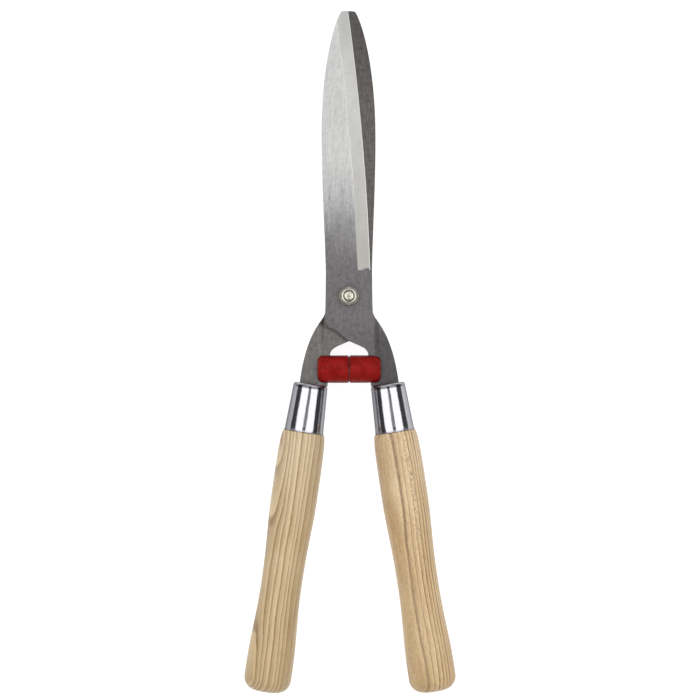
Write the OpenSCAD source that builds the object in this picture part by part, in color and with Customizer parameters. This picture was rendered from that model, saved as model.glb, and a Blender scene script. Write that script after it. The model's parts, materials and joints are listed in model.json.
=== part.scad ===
// Hedge shears: two straight blades on one pivot bolt, with turned wooden handles.
// The blades lie in the XY plane with their tips towards +Y, and the pivot's axis is along Z.
// The origin is under the middle of the closed shears, on the surface that they lie on.

/* [Blades] */
// From the pivot to the blade tips
blade_reach = 228; // [222:1:234]
// Thickness of the plate that a blade is made from
plate_t = 4; // [3.5:0.25:4.5]
// Thickness left at the cutting edge
edge_t = 0.6; // [0.4:0.1:1]
// Width of the bevel along the cutting edge
bevel_w = 10.2; // [8:0.2:11]
// Distance from the pivot to the heel of the bevel
bevel_start = 20.5; // [18:0.5:24]
// Radius of the slightly bowed cutting edge
edge_r = 2000; // [1800:50:2400]
// Gap between the two blades at the pivot
blade_gap = 0.2; // [0.1:0.05:0.4]

/* [Pivot] */
// Thread size of the pivot bolt
bolt_d = 8; // [8:1:8]
// Width across the flats of the bolt head and the nut
hex_flats = 13; // [13:0.5:14]
// Outer diameter of the two washers
washer_d = 16; // [16:0.5:18]

/* [Handles] */
// Angle between each handle and the middle line
splay = 8.5; // [7.5:0.1:9]
// Ferrule and handle together, from the ferrule's top to the butt
handle_l = 248.4; // [240:0.2:260]
// Diameter of the handle's belly, below the ferrule
grip_d = 36.8; // [36:0.2:38]
// Diameter of the flare at the handle's butt
butt_d = 37.6; // [36:0.2:38]
// Length of the ferrule
ferrule_l = 39; // [37:1:42]

/* [Buffers] */
// Diameter of the two stops between the arms
buffer_d = 22.2; // [20:0.2:22.2]
// Length of one stop
buffer_l = 25.4; // [24:0.2:26]

/* [Hidden] */
$fn = 96;

// Driving places, measured from the pivot in the plane of the blades.
joint_gap = 0.05;                       // running clearance of the faces that turn on each other
half_gap = blade_gap / 2;
edge_heel = [17.1, bevel_start];        // where the cutting edge ends near the pivot
edge_tip = [0, blade_reach];            // where it meets the tip
ferrule_top = [30.7, -70.3];            // middle of the right ferrule's closed end
buffer_y = -58.5;                       // axis of the two stops
arm_half = plate_t / 2;                 // each arm ends in the middle plane of the tool
set_x = [20.3, 23.9];                   // the arm steps down to it between these two lines
set_y = [-47.6, -51.2];                 // and, inside the stops, between these two

// Ferrule, handle and tang, along the handle's own axis from the ferrule's top.
ferrule_top_r = 13.7;
ferrule_end_r = 15.7;
ferrule_wall = 1;
ferrule_shoulder = 1.8;                 // rounding of the ferrule's closed end
tang_w = 12;
tang_tip_w = 5;
tang_l = 96;
tang_fit = 0.1;                         // room round the tang in the wood and in the ferrule
waist_r = 16.25;
belly_l = 22;                           // straight stretch where a clip holds the handle
belly_mid = 80;
waist_at = 164;
flare_l = 6;                            // straight stretch at the flare
flare_at = 231;
butt_face_r = 7;

// Bolt, nut and washers.
bolt_r = bolt_d / 2 - 0.05;
blade_hole_r = bolt_d / 2 + 0.02;
washer_t = 1.6;
washer_hole_r = bolt_d / 2 + 0.2;
head_h = 5.3;
nut_h = 8;
nut_hex_h = 6.4;
nut_collar_r = 6.2;
insert_r = 5;
insert_h = 2;
bolt_l = 20;

// Levels, counted from the middle plane between the blades.
blade_top = half_gap + plate_t;
washer_z = blade_top + joint_gap;
nut_z = washer_z + washer_t;

// The place of the pivot in the tool's own frame.
butt = ferrule_top + handle_l * [sin(splay), -cos(splay)];
pivot_y = (handle_l * cos(splay) - ferrule_top[1] + butt_face_r * sin(splay) - blade_reach) / 2;
lift = max(grip_d, butt_d) / 2;

// Points of a cubic curve from a to d that is drawn towards b and c on its way.
function curve(a, b, c, d, n = 12) = [for (i = [0:n]) let (t = i / n, s = 1 - t)
    s * s * s * a + 3 * s * s * t * b + 3 * s * t * t * c + t * t * t * d];

// Centre of the circle of radius r that passes through a and b and bulges towards +X.
function arc_centre(a, b, r) = let (m = (a + b) / 2, d = b - a, h = sqrt(r * r - d * d / 4))
    m - h / norm(d) * [d[1], -d[0]];

edge_centre = arc_centre(edge_heel, edge_tip, edge_r);

// Moves a piece from the pivot's frame to the tool's.
module at_pivot() translate([0, pivot_y, lift]) children();

// The lower half of the shears is the upper half turned over about the long axis.
module turned_over() rotate([0, 180, 0]) children();

// The handle's own frame: Z runs from the ferrule's top to the butt.
module along_handle() translate([ferrule_top[0], ferrule_top[1], 0]) rotate([90, 0, splay]) children();

// Plan of the blade proper, from the heel of the bevel to the tip.
module blade_plan() {
    back = concat(
        curve([-5.6, blade_reach - 0.6], [-11.5, blade_reach - 10], [-21.6, blade_reach - 45], [-21.6, 127], 24),
        curve([-21.6, 127], [-21.6, 87], [-18.8, 45], [-18.4, 16], 12));
    tip = curve([edge_tip[0] + 3, blade_reach], [-1, blade_reach], [-4.2, blade_reach], [-5.6, blade_reach - 0.6], 6);
    intersection() {
        polygon(concat(tip, back, [[-18.6, bevel_start - 6], [30, bevel_start - 6], [30, blade_reach]]));
        translate(edge_centre) circle(r = edge_r, $fn = 2880);
    }
}

// Plan of the neck round the pivot and of the arm down to the ferrule.
module arm_plan() {
    foot_in = ferrule_top - (ferrule_top_r - 0.2) * [cos(splay), sin(splay)];
    foot_out = ferrule_top + 9 * [cos(splay), sin(splay)];
    outer = concat([[edge_heel[0] + 0.4, bevel_start], [18.5, 0], [18.8, -11]],
        curve([18.8, -11], [19.1, -14.6], [20.4, -16.8], [22.4, -19.5], 6),
        curve([22.4, -19.5], [31, -31], [36.5, -46], foot_out, 16));
    inner = concat([foot_in, [15.7, -50]], curve([15.7, -50], [15.5, -43.5], [13, -42], [8.6, -39.9], 8), [[0, -36.2]]);
    heel = concat([[-7.6, -29.3]], curve([-12.6, -26], [-14.2, -25.2], [-15.6, -26.2], [-16.6, -25.2], 5),
        [[-19.3, -18.5], [-18.8, -6], [-18.4, bevel_start]]);
    polygon(concat(outer, inner, heel));
}

// Plan of the tongue that a stop is pushed on to.
module lug_plan(play = 0) translate([3.6 - play, buffer_y - 6 - play]) square([14, 12 + 2 * play]);

// Everything below the plate's top face, or above its bottom face when top is false.
// The face is at the blade's level up to the two steps and in the arm's level beyond them.
module plate_limit(top) {
    high = top ? blade_top : half_gap;
    low = top ? arm_half : -arm_half;
    far = top ? -20 : 20;
    module across() rotate([90, 0, 0]) translate([0, 0, -250]) linear_extrude(400)
        polygon([[-60, high], [set_x[0], high], [set_x[1], low], [80, low], [80, far], [-60, far]]);
    module along() rotate([90, 0, 90]) translate([0, 0, -60]) linear_extrude(140)
        polygon([[250, high], [set_y[0], high], [set_y[1], low], [-150, low], [-150, far], [250, far]]);
    if (top) intersection() {
        across();
        along();
    }
    else union() {
        across();
        along();
    }
}

// Everything outside the ground bevel, cut away from the outer face along the cutting edge.
module bevel_cut() {
    slope = bevel_w / (plate_t - edge_t);
    over = 1;
    h = plate_t - edge_t + over;
    difference() {
        translate([-30, bevel_start, half_gap + edge_t]) cube([70, 240, h]);
        translate([edge_centre[0], edge_centre[1], half_gap + edge_t])
            cylinder(h = h, r1 = edge_r, r2 = edge_r - slope * h, $fn = 2880);
    }
}

// Plan of the flat tang, in the handle's frame with its root on the X axis.
module tang_plan(play = 0) polygon([[-tang_w / 2 - play, -1], [tang_w / 2 + play, -1],
    [tang_tip_w / 2 + play, tang_l - 6], [play, tang_l + play], [-play, tang_l + play],
    [-tang_tip_w / 2 - play, tang_l - 6]]);

module tang(play = 0) along_handle() rotate([90, 0, 0]) translate([0, 0, -arm_half - play])
    linear_extrude(plate_t + 2 * play) tang_plan(play);

// One blade with its arm, lug and tang, the way round that the upper one lies.
module blade() {
    difference() {
        intersection() {
            translate([0, 0, -plate_t]) linear_extrude(3 * plate_t) union() {
                blade_plan();
                arm_plan();
                lug_plan();
            }
            plate_limit(true);
            plate_limit(false);
        }
        bevel_cut();
        translate([0, 0, -plate_t]) cylinder(h = 3 * plate_t, r = blade_hole_r);
    }
    tang();
}

module upper_blade() color("lightsteelblue") at_pivot() blade();

module lower_blade() color("slategray") at_pivot() turned_over() blade();

// A hexagon bar with the corners of its far end taken off by a cone of 30 degrees.
module hex_bar(h) {
    corner_r = hex_flats / sqrt(3);
    taken = 1.4;
    slope_h = taken * tan(30);
    intersection() {
        rotate([0, 0, 30]) cylinder(h = h, r = corner_r, $fn = 6);
        union() {
            cylinder(h = h - slope_h, r = corner_r + 0.1);
            translate([0, 0, h - slope_h]) cylinder(h = slope_h, r1 = corner_r + 0.1, r2 = corner_r + 0.1 - taken);
        }
    }
}

module pivot_bolt() color("gainsboro") at_pivot() {
    translate([0, 0, -nut_z]) mirror([0, 0, 1]) hex_bar(head_h);
    translate([0, 0, -nut_z - 0.5]) cylinder(h = bolt_l - 0.5, r = bolt_r);
    translate([0, 0, -nut_z + bolt_l - 1]) rotate_extrude() polygon(concat([[0, -0.2], [bolt_r, -0.2]],
        curve([bolt_r, 0], [bolt_r - 0.1, 0.5], [2.4, 1], [0, 1], 8)));
}

module washer() difference() {
    cylinder(h = washer_t, d = washer_d);
    translate([0, 0, -1]) cylinder(h = washer_t + 2, r = washer_hole_r);
}

module head_washer() color("gainsboro") at_pivot() translate([0, 0, -nut_z]) washer();

module nut_washer() color("gainsboro") at_pivot() translate([0, 0, washer_z]) washer();

// The steel body of the lock nut: a hexagon with a thin collar rolled over the insert.
module lock_nut() color("silver") at_pivot() translate([0, 0, nut_z]) difference() {
    union() {
        hex_bar(nut_hex_h);
        rotate_extrude() polygon(concat([[0, 1], [nut_collar_r, 1]],
            curve([nut_collar_r, nut_h - 1.2], [nut_collar_r, nut_h - 0.5], [5.7, nut_h - 0.1], [4.7, nut_h], 8),
            [[0, nut_h]]));
    }
    translate([0, 0, -1]) cylinder(h = nut_h + 2, r = bolt_r + 0.03);
    translate([0, 0, nut_h - 0.5 - insert_h]) cylinder(h = insert_h, r = insert_r);
    translate([0, 0, nut_h - 1]) cylinder(h = 2, r = insert_r - 0.4);
}

module nut_insert() color("whitesmoke") at_pivot() translate([0, 0, nut_z + nut_h - 0.5 - insert_h]) difference() {
    cylinder(h = insert_h, r = insert_r - 0.02);
    translate([0, 0, -1]) cylinder(h = insert_h + 2, r = bolt_r + 0.02);
}

// A moulded stop, slotted over the arm and its lug.
module buffer() {
    round = 4.6;                        // rounding of the outer end
    r = buffer_d / 2;
    play = 0.05;
    face = 0.02;                        // each stop stands this far off the middle line
    arm_x = 15.5;                       // the slot for the arm starts here
    difference() {
        translate([0, buffer_y, 0]) rotate([0, 90, 0]) rotate_extrude() polygon(concat(
            [[0, face]], curve([r - 1.6, face], [r - 0.7, face], [r, face + 0.7], [r, face + 1.6], 6),
            [[r, buffer_l - round]],
            curve([r, buffer_l - round], [r, buffer_l - 2], [r - 2, buffer_l], [r - round, buffer_l], 8),
            [[0, buffer_l]]));
        translate([0, 0, -arm_half - play]) linear_extrude(plate_t + 2 * play) union() {
            translate([arm_x - play, buffer_y - buffer_d]) square([buffer_l, 2 * buffer_d]);
            lug_plan(play);
        }
        translate([arm_x - play, set_y[1], 0]) cube([set_x[1] - arm_x + 2 * play, buffer_d, blade_top + play]);
    }
}

module right_buffer() color("firebrick") at_pivot() buffer();

module left_buffer() color("firebrick") at_pivot() turned_over() buffer();

// A drawn steel cup round the handle's end, with a slot for the tang in its closed top.
module ferrule() {
    wall = ferrule_wall;
    along_handle() difference() {
        rotate_extrude() polygon(concat([[0, 0], [ferrule_top_r - ferrule_shoulder, 0]],
            curve([ferrule_top_r - ferrule_shoulder, 0], [ferrule_top_r - 1, 0], [ferrule_top_r, 1],
                [ferrule_top_r + 0.12, ferrule_shoulder], 8),
            [[ferrule_end_r, ferrule_l], [ferrule_end_r - wall, ferrule_l], [ferrule_top_r - wall + 0.1, wall + 2],
                [ferrule_top_r - wall - 1.4, wall], [0, wall]]));
        translate([-tang_w / 2 - tang_fit, -arm_half - tang_fit, -1]) cube([tang_w + 2 * tang_fit, plate_t + 2 * tang_fit, 4]);
    }
}

module right_ferrule() color("silver") at_pivot() ferrule();

module left_ferrule() color("silver") at_pivot() turned_over() ferrule();

// A turned wooden handle: a spigot in the ferrule, a belly, a waist and a flared butt.
module handle() {
    fit = 0.05;
    wall = ferrule_wall;
    belly_r = grip_d / 2;
    flare_r = butt_d / 2;
    flare_end = flare_at + flare_l;
    belly_start = belly_mid - belly_l / 2;
    belly_end = belly_mid + belly_l / 2;
    spigot = [[0, wall + fit], [ferrule_top_r - wall - 1.5, wall + fit], [ferrule_top_r - wall + 0.1 - fit, wall + 2.05],
        [ferrule_end_r - wall - fit, ferrule_l + fit]];
    grip = concat(
        curve([ferrule_end_r + 0.5, ferrule_l + fit], [ferrule_end_r + 2, ferrule_l + 1],
            [belly_r - 0.1, ferrule_l + 12], [belly_r, belly_start], 10),
        curve([belly_r, belly_end], [belly_r, belly_end + 26], [waist_r, waist_at - 40], [waist_r, waist_at], 14),
        curve([waist_r, waist_at], [waist_r, waist_at + 24], [flare_r, flare_at - 26], [flare_r, flare_at], 12),
        curve([flare_r, flare_end], [flare_r, flare_end + 6], [flare_r - 4, handle_l], [butt_face_r, handle_l], 12));
    difference() {
        along_handle() rotate_extrude() polygon(concat(spigot, grip, [[0, handle_l]]));
        tang(tang_fit);
    }
}

module right_handle() color("burlywood") at_pivot() handle();

module left_handle() color("burlywood") at_pivot() turned_over() handle();

lower_blade();
upper_blade();
pivot_bolt();
head_washer();
nut_washer();
lock_nut();
nut_insert();
left_buffer();
right_buffer();
left_ferrule();
right_ferrule();
left_handle();
right_handle();
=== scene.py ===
"""Hedge shears: two stamped blades on a bolted pivot, chromed ferrules, turned ash handles and red stops."""
import json
import math

import bmesh
import bpy
from mathutils import Matrix, Vector


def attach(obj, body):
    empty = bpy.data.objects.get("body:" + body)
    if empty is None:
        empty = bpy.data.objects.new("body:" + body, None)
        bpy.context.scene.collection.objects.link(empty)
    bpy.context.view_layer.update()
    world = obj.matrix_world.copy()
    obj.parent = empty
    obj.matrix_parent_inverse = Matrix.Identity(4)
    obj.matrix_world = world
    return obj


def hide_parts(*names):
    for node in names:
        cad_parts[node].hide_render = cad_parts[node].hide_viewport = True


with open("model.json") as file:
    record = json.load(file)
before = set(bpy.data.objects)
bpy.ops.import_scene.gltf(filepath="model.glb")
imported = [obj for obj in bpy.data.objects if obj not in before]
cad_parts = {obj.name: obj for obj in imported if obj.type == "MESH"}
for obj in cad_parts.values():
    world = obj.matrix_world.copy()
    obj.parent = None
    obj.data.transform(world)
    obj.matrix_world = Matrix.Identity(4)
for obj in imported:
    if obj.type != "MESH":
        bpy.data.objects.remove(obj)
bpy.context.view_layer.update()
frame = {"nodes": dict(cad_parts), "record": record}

MM = 0.001
# Points that are closer than this, in metres, are one point, and faces within these degrees are one face.
JOIN_DISTANCE = 1e-6
FLAT_WITHIN = 0.4
RECORD = frame["record"]
PIVOT = Vector(RECORD["behaviour"]["joints"][0]["pos_m"])
MOUNTS = {mount["name"]: mount for mount in RECORD["mounts"]}
LOWER, UPPER = "lower_half", "upper_half"

# Ferrule and handle, in millimetres. Heights run down the handle from the ferrule's closed end.
FERRULE_LENGTH = 39.0
FERRULE_TOP_RADIUS = 13.7
FERRULE_END_RADIUS = 15.7
FERRULE_WALL = 1.0
HANDLE_LENGTH = 248.4
BELLY_RADIUS = 18.4
WAIST_RADIUS = 16.25
FLARE_RADIUS = 18.8

# The blade, in millimetres from the pivot. Its cutting edge is an arc through its heel and its tip.
EDGE_HEEL = Vector((17.1, 20.5))
EDGE_TIP = Vector((0.0, 228.0))
EDGE_RADIUS = 2000.0
# The middle of the step by which the arm is set down to the tool's middle plane.
SET_MIDDLE = 23.1
# The line where the other half's edge lies on an inner face, along which a shadow is painted: its direction
# across, and how far along that.
EDGE_SHADOW_ACROSS = (-0.549, 0.836)
EDGE_SHADOW_AT = -30.2
# A blade's finishes, in the order of its material slots.
OUTER_FACE, INNER_FACE, BEVEL, SIDES = range(4)
# A ground bevel's faces are this level, by the height of their normals, and are larger than a sliver.
BEVEL_LEVEL = (0.90, 0.975)
SLIVER_AREA = 2e-6

# Where a handle was cut from the log: the heart lies outside it, and the rings are counted in from this one.
HEART = (62.0, -14.0)
OUTER_RING = 81.6
# The tones of each handle's wood: pale, warm, and the line of open pores that starts a year's ring.
CREAM_ASH = ((0.530, 0.400, 0.233), (0.400, 0.277, 0.140), (0.262, 0.150, 0.060))
GOLDEN_ASH = ((0.620, 0.455, 0.260), (0.435, 0.276, 0.128), (0.165, 0.083, 0.030))
PORE_BROWN = (0.14, 0.075, 0.032)

# Zinc plate on the bolt, the nut and the washers, and the depth in metres of its finest grain. The washers'
# zinc is darkened as painted shade.
BRIGHT_ZINC = (0.44, 0.425, 0.385)
SHADED_ZINC = (0.135, 0.130, 0.120)
ZINC_SHADE = (0.82, 0.78, 0.66)
ZINC_GRAIN = 0.00004

# The camera looks straight down, and its field is this wide at the pivot's height. Metres and degrees, with
# the sensor in millimetres.
CAMERA_HEIGHT = 2.4
FIELD_WIDTH = 0.560
FIELD_MIDDLE = (0.0007, 0.0013)
CAMERA_TURN = -0.15
SENSOR_WIDTH = 36.0
FLOOR_SIZE = 12.0


# ---------------------------------------------------------------- modelling

def select_only(piece):
    """Makes one piece the only selected one, so an operator acts on nothing else."""
    bpy.ops.object.select_all(action="DESELECT")
    piece.select_set(True)
    bpy.context.view_layer.objects.active = piece


def start_piece(name):
    """Names the primitive that was just added and leaves it as the only selected piece."""
    piece = bpy.context.object
    piece.name = name
    piece.data.name = name
    select_only(piece)
    return piece


def apply_modifier(piece, kind, **settings):
    """Adds a modifier with its settings and applies it."""
    select_only(piece)
    modifier = piece.modifiers.new(kind.lower(), kind)
    for key, value in settings.items():
        setattr(modifier, key, value)
    bpy.ops.object.modifier_apply(modifier=modifier.name)


def place(piece, matrix):
    """Moves a finished piece to its place and puts that place into its mesh."""
    select_only(piece)
    piece.matrix_world = matrix
    bpy.ops.object.transform_apply(location=True, rotation=True, scale=True)


def smooth(piece, degrees):
    """Shades a piece smooth over every edge that turns by less than this."""
    select_only(piece)
    bpy.ops.object.shade_smooth_by_angle(angle=math.radians(degrees))


def bend(a, b, c, d, steps):
    """Points of a cubic curve from a to d that is drawn towards b and c on its way."""
    points = []
    for i in range(steps + 1):
        t = i / steps
        s = 1 - t
        points.append(tuple(s * s * s * a[k] + 3 * s * s * t * b[k] + 3 * s * t * t * c[k] + t * t * t * d[k]
                            for k in (0, 1)))
    return points


def turned(name, profile, segments):
    """Turns a profile of (radius, height) points, in millimetres, about the Z axis into a closed piece."""
    bpy.ops.object.select_all(action="DESELECT")
    bpy.ops.mesh.primitive_plane_add(size=MM)
    piece = start_piece(name)
    bpy.ops.object.mode_set(mode="EDIT")
    bpy.ops.mesh.select_all(action="SELECT")
    bpy.ops.mesh.merge(type="CENTER")
    here = Vector((profile[0][0] * MM, 0, profile[0][1] * MM))
    bpy.ops.transform.translate(value=here)
    for radius, height in profile[1:]:
        there = Vector((radius * MM, 0, height * MM))
        if (there - here).length < JOIN_DISTANCE:
            continue
        bpy.ops.mesh.extrude_region_move(TRANSFORM_OT_translate={"value": there - here})
        here = there
    bpy.ops.mesh.select_all(action="SELECT")
    bpy.ops.mesh.spin(steps=segments, angle=2 * math.pi, center=(0, 0, 0), axis=(0, 0, 1))
    bpy.ops.mesh.select_all(action="SELECT")
    bpy.ops.mesh.remove_doubles(threshold=JOIN_DISTANCE)
    bpy.ops.mesh.normals_make_consistent(inside=False)
    bpy.ops.object.mode_set(mode="OBJECT")
    return piece


def copy_of_node(node, name, round_by, sharp_from=28, smooth_below=32, shape=None):
    """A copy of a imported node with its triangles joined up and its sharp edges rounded.

    round_by is in millimetres, and the angles are in degrees. shape works on the copy before it is rounded.
    """
    source = frame["nodes"][node]
    piece = bpy.data.objects.new(name, source.data.copy())
    bpy.context.scene.collection.objects.link(piece)
    piece.data.name = name
    piece.data.materials.clear()
    place(piece, source.matrix_world.copy())
    bpy.ops.object.mode_set(mode="EDIT")
    bpy.ops.mesh.select_all(action="SELECT")
    bpy.ops.mesh.remove_doubles(threshold=JOIN_DISTANCE)
    bpy.ops.mesh.dissolve_limited(angle_limit=math.radians(FLAT_WITHIN))
    bpy.ops.mesh.normals_make_consistent(inside=False)
    bpy.ops.object.mode_set(mode="OBJECT")
    if shape is not None:
        shape(piece)
    apply_modifier(piece, "BEVEL", width=round_by * MM, segments=2, limit_method="ANGLE",
                   angle_limit=math.radians(sharp_from), use_clamp_overlap=True, harden_normals=False)
    smooth(piece, smooth_below)
    return piece


def round_shallow_edges(piece, low, high, radius, segments):
    """Rounds the shallow edges on a plate's top or bottom, from low to high along Y from the pivot.

    They lie between two faces that both look up or both look down, and turn by 12 to 50 degrees.
    """
    select_only(piece)
    bpy.ops.object.mode_set(mode="EDIT")
    bpy.ops.mesh.select_mode(type="EDGE")
    bpy.ops.mesh.select_all(action="DESELECT")
    mesh = bmesh.from_edit_mesh(piece.data)
    for edge in mesh.edges:
        middle = (edge.verts[0].co + edge.verts[1].co) / 2 - PIVOT
        inside = low * MM < middle.y < high * MM
        one_side = all(face.normal.z * edge.link_faces[0].normal.z > 0.5 for face in edge.link_faces)
        if inside and one_side and 12 < math.degrees(edge.calc_face_angle(0.0)) < 50:
            edge.select_set(True)
    bmesh.update_edit_mesh(piece.data)
    bpy.ops.mesh.bevel(offset=radius * MM, segments=segments, affect="EDGES", clamp_overlap=True)
    bpy.ops.mesh.select_mode(type="VERT")
    bpy.ops.object.mode_set(mode="OBJECT")


def give_finish(piece, material):
    """Takes a piece's finishes off and gives it this one."""
    piece.data.materials.clear()
    piece.data.materials.append(material)


def stand_in(piece, node, body):
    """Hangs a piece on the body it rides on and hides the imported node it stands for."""
    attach(piece, body)
    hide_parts(node)


# ---------------------------------------------------------------- finishes

class Value:
    """A socket that takes part in Python arithmetic; every operation adds its Math node."""

    def __init__(self, finish, socket):
        self.finish = finish
        self.socket = socket

    def _math(self, operation, *inputs, clamp=False):
        return self.finish.node("ShaderNodeMath", {"operation": operation, "use_clamp": clamp},
                                dict(enumerate(inputs)))

    def __add__(self, other):
        return self._math("ADD", self, other)

    def __radd__(self, other):
        return self._math("ADD", other, self)

    def __sub__(self, other):
        return self._math("SUBTRACT", self, other)

    def __rsub__(self, other):
        return self._math("SUBTRACT", other, self)

    def __mul__(self, other):
        return self._math("MULTIPLY", self, other)

    def __rmul__(self, other):
        return self._math("MULTIPLY", other, self)

    def __rtruediv__(self, other):
        return self._math("DIVIDE", other, self)

    def clamp(self):
        """The value, kept between 0 and 1."""
        return self._math("ADD", self, 0.0, clamp=True)

    def fraction(self):
        """What is left of the value past its last whole number."""
        return self._math("FRACT", self)

    def absolute(self):
        """The value without its sign."""
        return self._math("ABSOLUTE", self)

    def root(self):
        """The square root of the value."""
        return self._math("SQRT", self)

    def larger(self, other):
        """The larger of two values."""
        return self._math("MAXIMUM", self, other)

    def smaller(self, other):
        """The smaller of two values."""
        return self._math("MINIMUM", self, other)

    def step(self, low, high):
        """0 below low, 1 above high, and a smooth rise between."""
        ends = {"From Min": low, "From Max": high, "To Min": 0.0, "To Max": 1.0}
        return self.finish.node("ShaderNodeMapRange", {"interpolation_type": "SMOOTHSTEP"},
                                {"Value": self, **ends})

    def near(self, middle, core, reach):
        """1 up to core away from the middle, 0 beyond reach, and a smooth fall between."""
        return 1 - (self - middle).absolute().step(core, reach)


class Finish:
    """One procedural material, with its pattern read from Object coordinates in millimetres."""

    def __init__(self, name, origin=(0, 0, 0)):
        self.material = bpy.data.materials.new(name)
        self.material.use_nodes = True
        self.tree = self.material.node_tree
        self.shader = self.tree.nodes["Principled BSDF"]
        coordinates = Value(self, self.tree.nodes.new("ShaderNodeTexCoord").outputs["Object"])
        from_origin = self.node("ShaderNodeVectorMath", {"operation": "SUBTRACT"},
                                {0: coordinates, 1: tuple(origin)})
        self.place = self.node("ShaderNodeVectorMath", {"operation": "SCALE"},
                               {0: from_origin, "Scale": 1 / MM})

    def node(self, kind, settings=None, inputs=None, output=0):
        """Adds a node, sets its settings first and then its sockets, and returns one output."""
        node = self.tree.nodes.new(kind)
        for key, value in (settings or {}).items():
            setattr(node, key, value)
        for key, value in (inputs or {}).items():
            if isinstance(value, Value):
                self.tree.links.new(value.socket, node.inputs[key])
            else:
                node.inputs[key].default_value = value
        return Value(self, node.outputs[output])

    def along(self, direction, point=None):
        """Distance in millimetres along a direction."""
        return self.node("ShaderNodeVectorMath", {"operation": "DOT_PRODUCT"},
                         {0: point or self.place, 1: tuple(direction)}, output="Value")

    def vector(self, x, y, z):
        """Three values as one vector."""
        return self.node("ShaderNodeCombineXYZ", None, {"X": x, "Y": y, "Z": z})

    def noise(self, vector, scale=1.0, detail=2.0, roughness=0.5):
        """Soft noise between 0 and 1; a small factor on one side of the vector draws it out that way."""
        return self.node("ShaderNodeTexNoise", {"noise_dimensions": "3D"},
                         {"Vector": vector, "Scale": scale, "Detail": detail, "Roughness": roughness})

    def mix(self, factor, a, b, blend="MIX"):
        """Mixes two colours, given as tuples or as sockets."""
        colour_a = a if isinstance(a, Value) else (*a, 1.0)
        colour_b = b if isinstance(b, Value) else (*b, 1.0)
        return self.node("ShaderNodeMix", {"data_type": "RGBA", "blend_type": blend},
                         {0: factor, 6: colour_a, 7: colour_b}, output=2)

    def scaled(self, colour, factors):
        """A colour with its red, green and blue each times a factor."""
        return self.mix(1.0, colour, factors, "MULTIPLY")

    def bump(self, height, distance, strength):
        """A normal that makes a height between 0 and 1 stand this many metres proud."""
        return self.node("ShaderNodeBump", None,
                         {"Height": height, "Distance": distance, "Strength": strength})

    def surface(self, **inputs):
        """Sets the sockets of the Principled shader, by name with _ for a space."""
        for key, value in inputs.items():
            socket = self.shader.inputs[key.replace("_", " ")]
            if isinstance(value, Value):
                self.tree.links.new(value.socket, socket)
            elif isinstance(value, tuple):
                socket.default_value = (*value, 1.0)
            else:
                socket.default_value = value
        return self.material


class Room(Finish):
    """The light of the room itself, made with the same nodes as a finish."""

    def __init__(self, name):
        self.world = bpy.data.worlds.new(name)
        self.world.use_nodes = True
        self.tree = self.world.node_tree
        bpy.context.scene.world = self.world
        self.direction = Value(self, self.tree.nodes.new("ShaderNodeTexCoord").outputs["Generated"])

    def lit(self, colour, strength):
        """Lights the room with one colour and a strength that depends on the direction."""
        background = self.tree.nodes["Background"]
        background.inputs["Color"].default_value = (*colour, 1.0)
        self.tree.links.new(strength.socket, background.inputs["Strength"])


def toned(colour, factor):
    """A colour made lighter or darker by a factor, and never past full white."""
    return tuple(min(1.0, channel * factor) for channel in colour)


def outer_colour(finish, x, y, uneven):
    """Steel of an outer face: dark on the arm and round the pivot, and light along the blade, with painted
    shade on the arm where it bends away and behind the pivot.

    Gives the colour, how much painted shade darkens it, and how strongly its mottle shows.
    """
    behind = y * -1
    fade = (y + uneven + x * 0.15).step(18, 114)
    # Painted shade: darker on the arm where it bends away, and towards the neck behind the pivot.
    shade = x.step(17, 25) * behind.step(20, 34) * 0.32 + behind.step(16, 36) * 0.16
    return finish.mix(fade, (0.128, 0.121, 0.124), (0.43, 0.427, 0.42)), shade, 1.4 - fade * 0.7


def inner_colour(finish, x, y, mottle):
    """Steel of an inner face: dull and mottled, darker towards the tip and near the pivot, with a painted
    shadow along the other half's edge and a painted highlight on the arm's step.

    Gives the same three things as outer_colour.
    """
    behind = y * -1
    colour = finish.mix(mottle, (0.080, 0.073, 0.070), (0.112, 0.104, 0.100))
    colour = finish.mix(behind.step(14, 24), colour, (0.128, 0.120, 0.115))
    # Painted highlight along the arm's step.
    step_highlight = x.near(SET_MIDDLE, 0.4, 2.8) * behind.step(21, 27)
    colour = finish.mix(step_highlight * 0.27, colour, (0.30, 0.285, 0.275))
    # Painted shadow along the line where the other half's edge lies.
    edge_shadow = (x * EDGE_SHADOW_ACROSS[0] + y * EDGE_SHADOW_ACROSS[1]).near(EDGE_SHADOW_AT, 0.5, 2.8)
    # Darker towards the tip and near the pivot, and the painted shadow along the other half's edge.
    shade = y.step(140, 215) * 0.28 + (1 - y.step(16, 50)) * y.step(0, 10) * 0.15 + edge_shadow * 0.38
    return colour, shade, 1.4


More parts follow.
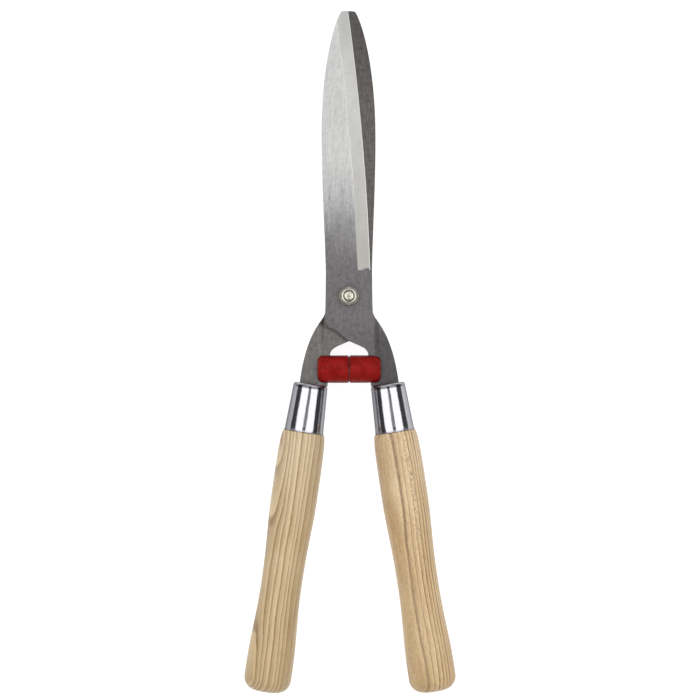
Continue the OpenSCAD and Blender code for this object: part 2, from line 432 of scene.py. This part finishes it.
def blade_face(name, side, outer):
    """Brushed blade steel, with streaks and hairlines along the blade and a few dark specks."""
    finish = Finish(name, PIVOT)
    x = finish.along((side, 0, 0))
    y = finish.along((0, 1, 0))
    z = finish.along((0, 0, 1))
    streaks = finish.noise(finish.vector(x * 1.7, y * 0.03, z * 0.5), detail=5.0, roughness=0.7)
    hair = finish.noise(finish.vector(x * 5.0, y * 0.16, z), detail=3.0, roughness=0.6)
    cloud = finish.noise(finish.vector(x * 0.06, y * 0.035, z * 0.05), detail=3.0)
    mottle = finish.noise(finish.vector(x * 0.35, y * 0.28, z * 0.5), detail=5.0, roughness=0.75)
    specks = finish.noise(finish.vector(x * 0.8, y * 0.55, z), detail=1.0).step(0.70, 0.80)
    if outer:
        uneven = (cloud - 0.5) * 24 + (streaks - 0.5) * 14
        colour, shade, coarse = outer_colour(finish, x, y, uneven)
    else:
        colour, shade, coarse = inner_colour(finish, x, y, mottle)
    # The darkening from outer_colour or inner_colour, which holds the painted shade and shadow, is laid on
    # here.
    colour = finish.mix(shade.clamp(), colour, (0.02, 0.019, 0.019))
    lines = (streaks - 0.5) * 1.0 + (hair - 0.5) * 0.9 + (mottle - 0.5) * coarse
    duller = finish.scaled(colour, (0.56, 0.56, 0.56))
    brighter = finish.scaled(colour, (1.46, 1.46, 1.46))
    colour = finish.mix((lines + 0.5).clamp(), duller, brighter)
    colour = finish.mix(specks * 0.4, colour, (0.08, 0.07, 0.065))
    rough = 0.42 + (streaks - 0.5) * 0.2 + (cloud - 0.5) * 0.12
    bump = finish.bump(streaks * 0.6 + hair * 0.4, 0.00003, 0.6)
    return finish.surface(Base_Color=colour, Metallic=1.0, Roughness=rough, Normal=bump)


def distance_from_edge(x, y):
    """Distance in millimetres from the arc of the cutting edge into the blade."""
    half_chord = (EDGE_TIP - EDGE_HEEL) / 2
    bow = math.sqrt(EDGE_RADIUS ** 2 - half_chord.length_squared)
    centre = (EDGE_HEEL + EDGE_TIP) / 2 - Vector((half_chord.y, -half_chord.x)).normalized() * bow
    dx = x - centre.x
    dy = y - centre.y
    return EDGE_RADIUS - (dx * dx + dy * dy).root()


def ground_bevel(name, side):
    """The ground strip along a cutting edge: fine grinding lines across it, painted shade where the grind
    runs out at the heel, and a painted highlight along the edge.
    """
    finish = Finish(name, PIVOT)
    x = finish.along((side, 0, 0))
    y = finish.along((0, 1, 0))
    lines = finish.noise(finish.vector(x * 0.10 + y * 0.02, y * 3.2, 0.0), detail=4.0, roughness=0.7)
    cloud = finish.noise(finish.vector(x * 0.1, y * 0.04, 0.0), detail=2.0)
    colour = finish.mix(y.step(10, 180), (0.238, 0.232, 0.216), (0.318, 0.316, 0.306))
    duller = finish.scaled(colour, (0.86, 0.86, 0.86))
    brighter = finish.scaled(colour, (1.12, 1.12, 1.12))
    colour = finish.mix((lines * 0.7 + cloud * 0.3).step(0.3, 0.7), duller, brighter)
    # Painted shade where the grind runs out at the heel.
    heel_shade = (1 - y.step(20.8, 23.2)) * x.step(8.0, 15.0)
    colour = finish.mix(heel_shade * 0.9, colour, (0.05, 0.048, 0.045))
    # Painted highlight along the cutting edge.
    edge_highlight = 1 - distance_from_edge(x, y).step(0.35, 1.0)
    colour = finish.mix(edge_highlight * 0.75, colour, (0.40, 0.40, 0.39))
    rough = 0.34 + (lines - 0.5) * 0.2
    bump = finish.bump(lines, 0.00002, 0.6)
    return finish.surface(Base_Color=colour, Metallic=1.0, Roughness=rough, Normal=bump)


def sheared_edge(name):
    """The narrow sides of the stamped plate, with a coarse grain up and down them."""
    finish = Finish(name, PIVOT)
    x = finish.along((1, 0, 0))
    y = finish.along((0, 1, 0))
    z = finish.along((0, 0, 1))
    grain = finish.noise(finish.vector(x * 1.5, y * 1.5, z * 0.6), detail=4.0, roughness=0.7)
    colour = finish.mix(grain, (0.20, 0.19, 0.185), (0.42, 0.41, 0.40))
    bump = finish.bump(grain, 0.00006, 0.6)
    return finish.surface(Base_Color=colour, Metallic=1.0, Roughness=0.42 + grain * 0.2, Normal=bump)


def zinc_plate(name, colour, rough, lumps=0.0):
    """Zinc plate with a fine grain and cloudy tint; lumps is the depth of its hammer marks in metres."""
    finish = Finish(name, PIVOT)
    fine = finish.noise(finish.place, scale=2.2, detail=4.0, roughness=0.7)
    cloud = finish.noise(finish.place, scale=0.35, detail=2.0)
    marks = finish.noise(finish.place, scale=0.45, detail=1.0)
    tint = finish.mix(cloud, colour, tuple(channel * shade for channel, shade in zip(colour, ZINC_SHADE)))
    depth = ZINC_GRAIN + lumps
    bump = finish.bump(fine * (ZINC_GRAIN / depth) + marks * (lumps / depth), depth, 0.5)
    return finish.surface(Base_Color=tint, Metallic=1.0, Roughness=rough + (fine - 0.5) * 0.25, Normal=bump)


def ferrule_chrome(name, frame_of):
    """Bright chrome with the faint long ripples of a drawn cup, painted shade down one side and a painted
    shadow line under its closed end.
    """
    origin, outward, up, down = frame_of
    finish = Finish(name, origin)
    u = finish.along(outward)
    v = finish.along(up)
    s = finish.along(down)
    ripple = finish.noise(finish.vector(u * 0.35, v * 0.35, s * 0.05), detail=2.0)
    dust = finish.noise(finish.vector(u * 1.2, v * 1.2, s * 1.0), detail=4.0, roughness=0.75)
    # Painted shade down the side where u is negative.
    colour = finish.mix(u.step(-13, -8), (0.30, 0.295, 0.31), (0.41, 0.405, 0.425))
    colour = finish.mix(dust.step(0.45, 0.85) * 0.3, colour, (0.30, 0.295, 0.30))
    # Painted shadow line just under the closed end, on the part that faces up.
    rim_shadow = s.near(2.5, 0.5, 1.5) * u.near(0.0, 10, 13)
    colour = finish.mix(rim_shadow * 0.8, colour, (0.03, 0.03, 0.03))
    rough = 0.12 + dust.step(0.50, 0.8) * 0.10
    bump = finish.bump(ripple * 0.9 + dust * 0.1, 0.00020, 0.4)
    return finish.surface(Base_Color=colour, Metallic=1.0, Roughness=rough, Normal=bump,
                          Specular_Tint=(0.35, 0.345, 0.37))


def ring_depth(finish, u, v, s, cups, seed):
    """Depth in millimetres under the outermost ring, which sways a little along the handle."""
    sway = finish.noise(finish.vector(u * 0.020 + seed, v * 0.020, s * 0.011), detail=1.0)
    ripple = finish.noise(finish.vector(u * 0.12, v * 0.12 + seed, s * 0.035), detail=2.0)
    du = u - HEART[0]
    dv = v - HEART[1]
    depth = OUTER_RING - (du * du + dv * dv).root() + (sway - 0.5) * 3.5 + (ripple - 0.5) * 1.5
    if not cups:
        return depth
    below = s - FERRULE_LENGTH
    run = below.smaller(80) - (below - 150).larger(0) * 0.8
    cup_slope = 1 / 17.5
    cupped = (depth * depth + run * run * cup_slope ** 2).root()
    return cupped + (depth - cupped) * depth.step(4, 9)


def ring_lines(finish, rings, s, ring_count, seed):
    """How far through its ring a point lies, from 0 to 1, the ring's width, and its dark early line."""
    base_count, crowding, outer_count = ring_count
    thinning = (rings.larger(0) + 1.5).root()
    uneven = finish.noise(finish.vector(rings * 0.16, seed, 0.0), detail=1.0)
    counted = rings * base_count + rings * rings * crowding + thinning * outer_count
    phase = (counted + (uneven - 0.5) * 1.4).fraction()
    spacing = 1 / (rings.larger(0) * (2 * crowding) + base_count + (outer_count / 2) / thinning)
    past_line = phase * spacing
    patches = finish.noise(finish.vector(rings * 0.30, s * 0.012 + seed, 0.0), detail=1.0).step(0.30, 0.68)
    strength = (patches * 0.45 + 0.55) * (1 - spacing.step(3.6, 7.0) * 0.65)
    width = (spacing * 0.40).smaller(1.35)
    early = past_line.step(0.0, width * 0.2) * (1 - past_line.step(width * 0.3, width)) * strength
    return phase, spacing, early


def with_dark_row(finish, colour, rings, s, pale, pores, flecks, dark_row):
    """Draws one brown row of wide pores, and the pale flecked band beside it, from the shoulder down."""
    row_at, row_end, band_at = dark_row
    band = rings.near(band_at, 1.0, 2.6) * (1 - s.step(row_end - 20, row_end + 50))
    colour = finish.mix(band * 0.55, colour, toned(pale, 1.22))
    colour = finish.mix(band * flecks.step(0.53, 0.58) * 0.95, colour, (0.12, 0.075, 0.048))
    row = rings.near(row_at, 0.25, 1.3) * (1 - s.step(row_end - 10, row_end + 60) * 0.75)
    wide_pores = pores.step(0.38, 0.54) * 0.65 + 0.30
    return finish.mix((row * wide_pores).clamp(), colour, (0.17, 0.088, 0.032))


def turned_ash(name, frame_of, tones, ring_count, cups, open_pores, dark_row, seed):
    """Ash wood: growth rings round a heart outside the handle, open pores in rows, long fine fibres.

    ring_count gives the rings per millimetre, how fast they crowd towards the heart, and how closely the
    last rings under the bark follow each other. With cups, the outermost rings close in long cups, as where
    a handle is turned across the slope of the grain. open_pores is how much the pores show between the
    rings. dark_row is the depth and the end of one brown row of wide pores that starts at the shoulder, and
    the depth of a pale flecked band beside it.
    """
    origin, outward, up, down = frame_of
    pale, warm, line_colour = tones
    finish = Finish(name, origin)
    u = finish.along(outward)
    v = finish.along(up)
    s = finish.along(down)
    rings = ring_depth(finish, u, v, s, cups, seed)
    phase, spacing, early = ring_lines(finish, rings, s, ring_count, seed)

    pores = finish.noise(finish.vector(u * 1.9, v * 1.9, s * 0.17 + seed), detail=3.0, roughness=0.65)
    pore_mask = pores.step(0.50, 0.62)
    fibres = finish.noise(finish.vector(u * 4.5, v * 4.5, s * 0.08), detail=3.0, roughness=0.7)
    flecks = finish.noise(finish.vector(u * 2.4, v * 2.4, s * 0.42 + seed), detail=2.0, roughness=0.6)
    streak = finish.noise(finish.vector(u * 0.8, v * 0.8, s * 0.022 + seed), detail=3.0, roughness=0.6)
    cloud = finish.noise(finish.vector(u * 0.05, v * 0.05, s * 0.018 + seed), detail=2.0)

    colour = finish.mix((cloud * 0.5 + streak * 0.5).step(0.34, 0.66), warm, pale)
    late = phase.step(0.45, 0.97) * (1 - spacing.step(3.6, 7.0)) * 0.60
    colour = finish.mix(late, colour, toned(pale, 1.32))
    colour = finish.mix(early * 0.95, colour, line_colour)
    colour = finish.mix((pore_mask * (early * 0.55 + open_pores)).clamp(), colour, PORE_BROWN)
    if dark_row:
        colour = with_dark_row(finish, colour, rings, s, pale, pores, flecks, dark_row)
    dark_flecks = ((flecks - 0.5) * 2.4).clamp() * (open_pores * 3 + 0.4)
    colour = finish.mix(dark_flecks, colour, toned(warm, 0.68))
    pale_flecks = ((0.46 - flecks) * 2.4).clamp() * (open_pores * 3 + 0.2)
    colour = finish.mix(pale_flecks, colour, toned(pale, 1.2))
    colour = finish.mix(((fibres - 0.45) * 1.1).clamp(), colour, toned(pale, 1.12))
    colour = finish.mix(1 - s.step(50, 130), colour, finish.scaled(colour, (1.05, 1.09, 1.18)))
    colour = finish.mix(s.step(150, 230), colour, finish.scaled(colour, (0.955, 0.94, 0.90)))

    height = fibres * 0.35 - pore_mask * (early * 0.9 + 0.1) * 0.65
    bump = finish.bump(height, 0.00012, 0.55)
    rough = 0.46 + pore_mask * 0.12 + (fibres - 0.5) * 0.12
    return finish.surface(Base_Color=colour, Metallic=0.0, Roughness=rough, Normal=bump, Coat_Weight=0.10,
                          Coat_Roughness=0.35, Specular_IOR_Level=0.35)


def stop_rubber(name):
    """Moulded red stops with an orange-peel skin, and painted shade round their sides and where they meet.
    """
    finish = Finish(name, PIVOT)
    skin = finish.noise(finish.place, scale=1.6, detail=3.0, roughness=0.6)
    cloud = finish.noise(finish.place, scale=0.16, detail=3.0).step(0.30, 0.70)
    dents = finish.noise(finish.place, scale=0.30, detail=2.0)
    colour = finish.mix(cloud, (0.182, 0.0048, 0.0034), (0.250, 0.0078, 0.0057))
    # Painted shade round the stops' sides, about their middle plane.
    sides = finish.along((0, 0, 1)).near(0.0, 0.5, 8.0)
    colour = finish.mix(sides * 0.75, colour, (0.045, 0.002, 0.002))
    # Painted shade where the two stops meet.
    meeting = finish.along((1, 0, 0)).near(0.0, 0.2, 1.2)
    colour = finish.mix(meeting * 0.5, colour, (0.040, 0.002, 0.002))
    colour = finish.mix(skin.step(0.58, 0.8) * 0.2, colour, (0.25, 0.014, 0.011))
    bump = finish.bump(skin * 0.25 + dents, 0.00040, 0.5)
    return finish.surface(Base_Color=colour, Roughness=0.28 + (cloud - 0.5) * 0.12, Normal=bump,
                          Specular_IOR_Level=0.07)


def dark_nylon(name):
    """The nut's locking ring: nearly black plastic with a fine grain."""
    finish = Finish(name, PIVOT)
    grain = finish.noise(finish.place, scale=1.8, detail=3.0)
    colour = finish.mix(grain, (0.018, 0.018, 0.017), (0.05, 0.048, 0.045))
    bump = finish.bump(grain, 0.00006, 0.5)
    return finish.surface(Base_Color=colour, Roughness=0.42 + grain * 0.2, Normal=bump)


# ---------------------------------------------------------------- pieces

def handle_frame(side):
    """Origin at the ferrule's closed end, then the directions outward, up and down the handle."""
    butt = MOUNTS[side + "_butt"]
    down = Vector(butt["axis"]).normalized()
    origin = Vector(butt["pos_m"]) - down * HANDLE_LENGTH * MM
    up = Vector((0, 0, 1))
    return origin, up.cross(down).normalized(), up, down


def frame_matrix(frame_of):
    """The matrix that takes a piece turned about Z to its place on a handle."""
    origin, outward, up, down = frame_of
    matrix = Matrix((outward, up, down)).transposed().to_4x4()
    matrix.translation = origin
    return matrix


def ferrule_profile():
    """The outline of a drawn cup with a rounded closed end and a rolled mouth."""
    top, end, wall, length = FERRULE_TOP_RADIUS, FERRULE_END_RADIUS, FERRULE_WALL, FERRULE_LENGTH
    hole = 5.0
    shoulder = 2.6
    roll = 1.7
    steps = 12
    points = [(hole, 0.0)]
    points += bend((top - 2.0, 0.0), (top - 0.6, 0.02), (top + 0.02, 0.9), (top + 0.08, shoulder), 12)
    for i in range(1, steps):
        t = i / steps
        points.append((top + 0.08 + (end - top - 0.16) * t, shoulder + (length - roll - shoulder) * t))
    points += [(end - 0.10, length - 1.5)]
    points += bend((end - 0.02, length - 1.2), (end + 0.36, length - 1.1), (end + 0.36, length),
                   (end - 0.3, length), 8)
    points += [(end - wall, length), (top - wall + 0.1, wall + 2), (top - wall - 1.4, wall)]
    return points + [(hole, wall), (hole, 0.0)]


def handle_profile():
    """The outline of the turned handle from its shoulder under the ferrule to the butt."""
    start = FERRULE_LENGTH + 0.05
    belly_start, belly_end, waist, flare_start, flare_end = 69.0, 91.0, 164.0, 231.0, 237.0
    butt_flat = 7.0
    stub_end = FERRULE_WALL + 0.05
    points = [(0.0, stub_end), (FERRULE_TOP_RADIUS - 2.5, stub_end)]
    points += [(FERRULE_END_RADIUS - FERRULE_WALL - 0.05, start)]
    points += bend((FERRULE_END_RADIUS + 0.5, start), (FERRULE_END_RADIUS + 2.0, start + 0.95),
                   (BELLY_RADIUS - 0.1, start + 12), (BELLY_RADIUS, belly_start), 24)
    points += bend((BELLY_RADIUS, belly_end), (BELLY_RADIUS, belly_end + 26), (WAIST_RADIUS, waist - 40),
                   (WAIST_RADIUS, waist), 28)
    points += bend((WAIST_RADIUS, waist), (WAIST_RADIUS, waist + 24), (FLARE_RADIUS, flare_start - 26),
                   (FLARE_RADIUS, flare_start), 28)
    points += bend((FLARE_RADIUS, flare_end), (FLARE_RADIUS, flare_end + 6),
                   (FLARE_RADIUS - 4, HANDLE_LENGTH), (butt_flat, HANDLE_LENGTH), 20)
    return points + [(0.0, HANDLE_LENGTH)]


def make_ferrule(side, body):
    """One drawn ferrule, turned about its handle's axis."""
    frame_of = handle_frame(side)
    piece = turned(side + "_ferrule_cup", ferrule_profile(), 160)
    place(piece, frame_matrix(frame_of))
    smooth(piece, 40)
    give_finish(piece, ferrule_chrome(side + "_chrome", frame_of))
    stand_in(piece, side + "_ferrule", body)


def make_handle(side, body, **grain):
    """One turned handle; grain says how its wood runs."""
    frame_of = handle_frame(side)
    piece = turned(side + "_turned_handle", handle_profile(), 128)
    place(piece, frame_matrix(frame_of))
    smooth(piece, 40)
    give_finish(piece, turned_ash(side + "_ash", frame_of, **grain))
    stand_in(piece, side + "_handle", body)


def soften_blank(blank):
    """Rounds the bends of the arm's step and breaks the line where the ground bevel starts."""
    round_shallow_edges(blank, -52, -12, 1.7, 6)
    round_shallow_edges(blank, 20, 240, 0.32, 1)


def make_blade(node, body, outer_up):
    """One blade: its flat faces, the ground bevel and the sheared sides each have their own finish."""
    name = node + "_plate"
    piece = copy_of_node(node, name, 0.2, smooth_below=14, shape=soften_blank)
    facing = 1 if outer_up else -1
    piece.data.materials.append(blade_face(name + "_outer_face", facing, True))
    piece.data.materials.append(blade_face(name + "_inner_face", facing, False))
    piece.data.materials.append(ground_bevel(name + "_bevel", facing))
    piece.data.materials.append(sheared_edge(name + "_sides"))
    heel = PIVOT.y + EDGE_HEEL.y * MM
    for face in piece.data.polygons:
        level = face.normal.z * facing
        ground = BEVEL_LEVEL[0] < level < BEVEL_LEVEL[1] and face.area > SLIVER_AREA
        if ground and face.center.y > heel:
            face.material_index = BEVEL
        elif level > 0.7:
            face.material_index = OUTER_FACE
        elif level < -0.7:
            face.material_index = INNER_FACE
        else:
            face.material_index = SIDES
    stand_in(piece, node, body)


def make_stop(side, body, rubber):
    """One moulded stop."""
    piece = copy_of_node(side + "_buffer", side + "_stop", 0.35, sharp_from=40)
    give_finish(piece, rubber)
    stand_in(piece, side + "_buffer", body)


def make_pivot():
    """The hammered bolt with its nut, washers and locking ring, which all stay with the lower half."""
    hammered = zinc_plate("hammered_plate", BRIGHT_ZINC, 0.22, lumps=0.0008)
    bright = zinc_plate("zinc_plate", BRIGHT_ZINC, 0.22)
    # The washers get zinc darkened as painted shade.
    dull = zinc_plate("washer_plate", SHADED_ZINC, 0.34)
    nylon = dark_nylon("dark_nylon")
    stack = [("pivot_bolt", "bolt", 0.15, "bolt_steel", hammered),
             ("lock_nut", "nut", 0.18, "bolt_steel", bright),
             ("head_washer", "back_washer", 0.5, "bolt_steel", dull),
             ("nut_washer", "front_washer", 0.5, "bolt_steel", dull),
             ("nut_insert", "locking_ring", 0.1, "insert_plastic", nylon)]
    for node, name, round_by, slot, finish in stack:
        piece = copy_of_node(node, name, round_by)
        give_finish(piece, finish)
        stand_in(piece, node, LOWER)


make_blade("lower_blade", LOWER, False)
make_blade("upper_blade", UPPER, True)
make_pivot()
red = stop_rubber("red_rubber")
make_stop("left", LOWER, red)
make_stop("right", UPPER, red)
make_ferrule("left", LOWER)
make_ferrule("right", UPPER)
make_handle("left", LOWER, tones=CREAM_ASH, ring_count=(0.0, 0.0, 2.2), cups=True, open_pores=0.08,
            dark_row=None, seed=3.1)
make_handle("right", UPPER, tones=GOLDEN_ASH, ring_count=(0.12, 0.0042, 0.0), cups=False, open_pores=0.24,
            dark_row=(9.0, 110.0, 17.6), seed=7.7)


# ---------------------------------------------------------------- room, light and camera

def make_floor():
    """A wide pale floor that glows a little, so it stays even to its ends."""
    bpy.ops.object.select_all(action="DESELECT")
    bpy.ops.mesh.primitive_plane_add(size=FLOOR_SIZE, location=(0, 0, 0))
    floor = start_piece("floor")
    finish = Finish("pale_floor")
    cloud = finish.noise(finish.place, scale=0.004, detail=2.0)
    pale = finish.mix(cloud, (0.35, 0.35, 0.35), (0.37, 0.37, 0.37))
    give_finish(floor, finish.surface(Base_Color=pale, Roughness=0.9, Specular_IOR_Level=0.1,
                                      Emission_Color=(1.0, 1.0, 1.0), Emission_Strength=0.84))


def make_panel(name, centre, size, power):
    """A soft panel that shines straight down, with sizes in metres and its power in watts."""
    light = bpy.data.lights.new(name, "AREA")
    light.shape = "RECTANGLE"
    light.size, light.size_y = size
    light.energy = power
    lamp = bpy.data.objects.new(name, light)
    bpy.context.scene.collection.objects.link(lamp)
    lamp.location = centre


def make_light():
    """Two broad panels beside the shears, two small ones past the tips and overhead, and a dim room."""
    make_panel("left_panel", (-0.95, 0.05, 1.25), (1.5, 1.3), 14.6)
    make_panel("right_panel", (0.95, 0.05, 1.25), (1.5, 1.3), 14.6)
    make_panel("far_panel", (0.0, 1.05, 1.25), (0.4, 1.6), 2.0)
    make_panel("top_panel", (0.0, -0.1, 2.6), (0.9, 0.6), 0.8)
    room = Room("room")
    ends = room.along((0, 1, 0), room.direction).absolute().step(0.15, 0.75)
    room.lit((0.92, 0.95, 1.0), ends * 0.70 + 0.085)


def make_camera():
    """The camera over the middle of the shears, with a lens that just takes in the field's width."""
    camera = bpy.data.cameras.new("camera")
    camera.sensor_width = SENSOR_WIDTH
    camera.lens = SENSOR_WIDTH * (CAMERA_HEIGHT - PIVOT.z) / FIELD_WIDTH
    holder = bpy.data.objects.new("camera", camera)
    bpy.context.scene.collection.objects.link(holder)
    holder.location = (*FIELD_MIDDLE, CAMERA_HEIGHT)
    holder.rotation_euler = (0, 0, math.radians(CAMERA_TURN))
    bpy.context.scene.camera = holder


make_floor()
make_light()
make_camera()
bpy.context.scene.view_settings.view_transform = "Standard"
